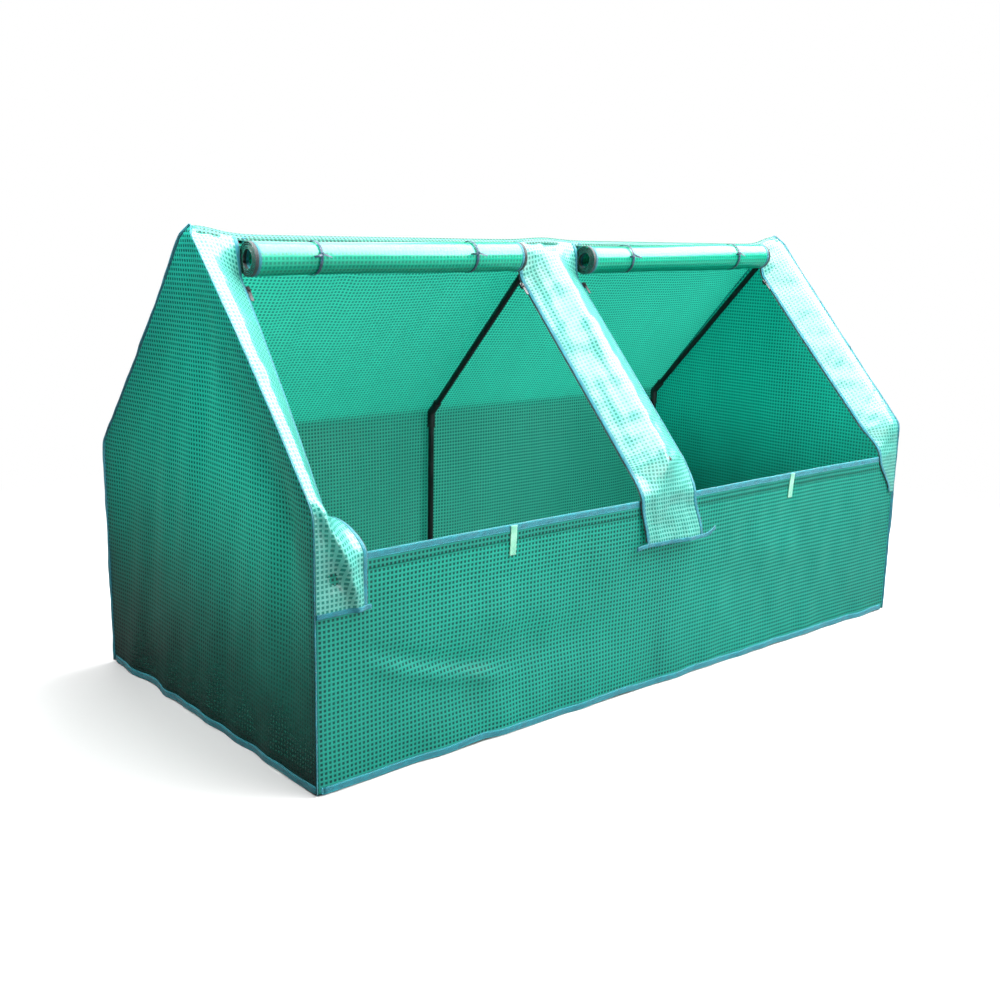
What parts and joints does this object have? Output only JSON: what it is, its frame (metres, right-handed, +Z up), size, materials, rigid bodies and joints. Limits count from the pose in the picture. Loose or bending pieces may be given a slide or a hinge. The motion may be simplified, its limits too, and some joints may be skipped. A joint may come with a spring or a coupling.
{
  "type": "mini greenhouse",
  "caption": "Low greenhouse with a tube frame, gabled ends and a mesh-reinforced sheet cover whose front doors roll up and zip to lapels, open underneath to stand over a raised bed.",
  "frame": {"origin": "on the ground under the middle of the greenhouse", "axes": "+X along the ridge to the right, -Y to the front where the doors are, +Z up"},
  "size_m": [1.85, 0.89, 1.005],
  "materials": {
    "frame_tube": "black powder-coated steel tube",
    "connector": "moulded black plastic",
    "cover_mesh": "glossy translucent green polyethylene sheet with a square thread grid",
    "door_mesh": "the cover's sheet, rolled up",
    "binding": "woven cyan binding tape",
    "zip_tape": "black woven zip tape with a nylon coil",
    "tie": "dark blue-green woven tape",
    "closure_tab": "pale green hook-and-loop tape",
    "zip_metal": "black enamelled cast metal"
  },
  "bodies": {
    "frame": {"front_post_left": "frame_tube", "front_rafter_left": "frame_tube", "back_post_left": "frame_tube", "back_rafter_left": "frame_tube", "front_post_middle": "frame_tube", "front_rafter_middle": "frame_tube", "back_post_middle": "frame_tube", "back_rafter_middle": "frame_tube", "front_post_right": "frame_tube", "front_rafter_right": "frame_tube", "back_post_right": "frame_tube", "back_rafter_right": "frame_tube", "ridge_tube_left": "frame_tube", "base_front_tube_left": "frame_tube", "base_back_tube_left": "frame_tube", "base_end_tube_left": "frame_tube", "ridge_tube_right": "frame_tube", "base_front_tube_right": "frame_tube", "base_back_tube_right": "frame_tube", "base_end_tube_right": "frame_tube", "apex_connector_left": "connector", "apex_connector_middle": "connector", "apex_connector_right": "connector", "back_eave_connector_left": "connector", "back_eave_connector_middle": "connector", "back_eave_connector_right": "connector", "front_eave_connectors": "connector", "base_corner_connectors": "connector", "base_tee_connectors": "connector", "left_end_panel": "cover_mesh", "right_end_panel": "cover_mesh", "back_wall_panel": "cover_mesh", "back_roof_panel": "cover_mesh", "ridge_strip": "cover_mesh", "front_panel": "cover_mesh", "left_lapel": "cover_mesh", "left_lapel_flap": "cover_mesh", "middle_lapel": "cover_mesh", "right_lapel": "cover_mesh", "cover_hem": "binding", "front_panel_binding": "binding", "lapel_bindings": "binding", "left_door_zip_tapes": "zip_tape", "left_lapel_flap_tape": "zip_tape", "right_door_zip_tapes": "zip_tape", "left_door_ties": "tie", "right_door_ties": "tie", "closure_tabs": "closure_tab"},
    "left_door": {"left_door_roll": "door_mesh"},
    "right_door": {"right_door_roll": "door_mesh"},
    "left_outer_slider": {"left_outer_zip_slider": "zip_metal"},
    "left_outer_pull": {"left_outer_zip_pull": "zip_metal"},
    "left_inner_slider": {"left_inner_zip_slider": "zip_metal"},
    "left_inner_pull": {"left_inner_zip_pull": "zip_metal"},
    "right_inner_slider": {"right_inner_zip_slider": "zip_metal"},
    "right_inner_pull": {"right_inner_zip_pull": "zip_metal"},
    "right_outer_slider": {"right_outer_zip_slider": "zip_metal"},
    "right_outer_pull": {"right_outer_zip_pull": "zip_metal"}
  },
  "joints": [
    {"name": "left_door_unroll", "type": "slide", "parent": "frame", "child": "left_door", "axis": [0, -0.6822, -0.7312], "range_m": [0, 0.5922], "deforming": ["left_door_ties"]},
    {"name": "right_door_unroll", "type": "slide", "parent": "frame", "child": "right_door", "axis": [0, -0.6822, -0.7312], "range_m": [0, 0.5922], "deforming": ["right_door_ties"]},
    {"name": "left_outer_zip", "type": "slide", "parent": "frame", "child": "left_outer_slider", "axis": [-0.0426, -0.6274, -0.7775], "range_m": [0, 0.4757]},
    {"name": "left_outer_pull_swing", "type": "hinge", "parent": "left_outer_slider", "child": "left_outer_pull", "pos_m": [-0.82057, -0.04947, 0.88898], "axis": [-0.9991, 0.0267, 0.0331], "range_deg": [0, 120]},
    {"name": "left_inner_zip", "type": "slide", "parent": "frame", "child": "left_inner_slider", "axis": [0, -0.6822, -0.7312], "range_m": [0, 0.51]},
    {"name": "left_inner_pull_swing", "type": "hinge", "parent": "left_inner_slider", "child": "left_inner_pull", "pos_m": [-0.102, -0.05013, 0.8897], "axis": [-1, 0, 0], "range_deg": [0, 120]},
    {"name": "right_inner_zip", "type": "slide", "parent": "frame", "child": "right_inner_slider", "axis": [0, -0.6822, -0.7312], "range_m": [0, 0.51]},
    {"name": "right_inner_pull_swing", "type": "hinge", "parent": "right_inner_slider", "child": "right_inner_pull", "pos_m": [0.102, -0.05013, 0.8897], "axis": [-1, 0, 0], "range_deg": [0, 120]},
    {"name": "right_outer_zip", "type": "slide", "parent": "frame", "child": "right_outer_slider", "axis": [0, -0.6822, -0.7312], "range_m": [0, 0.51]},
    {"name": "right_outer_pull_swing", "type": "hinge", "parent": "right_outer_slider", "child": "right_outer_pull", "pos_m": [0.82, -0.05013, 0.8897], "axis": [-1, 0, 0], "range_deg": [0, 120]}
  ]
}
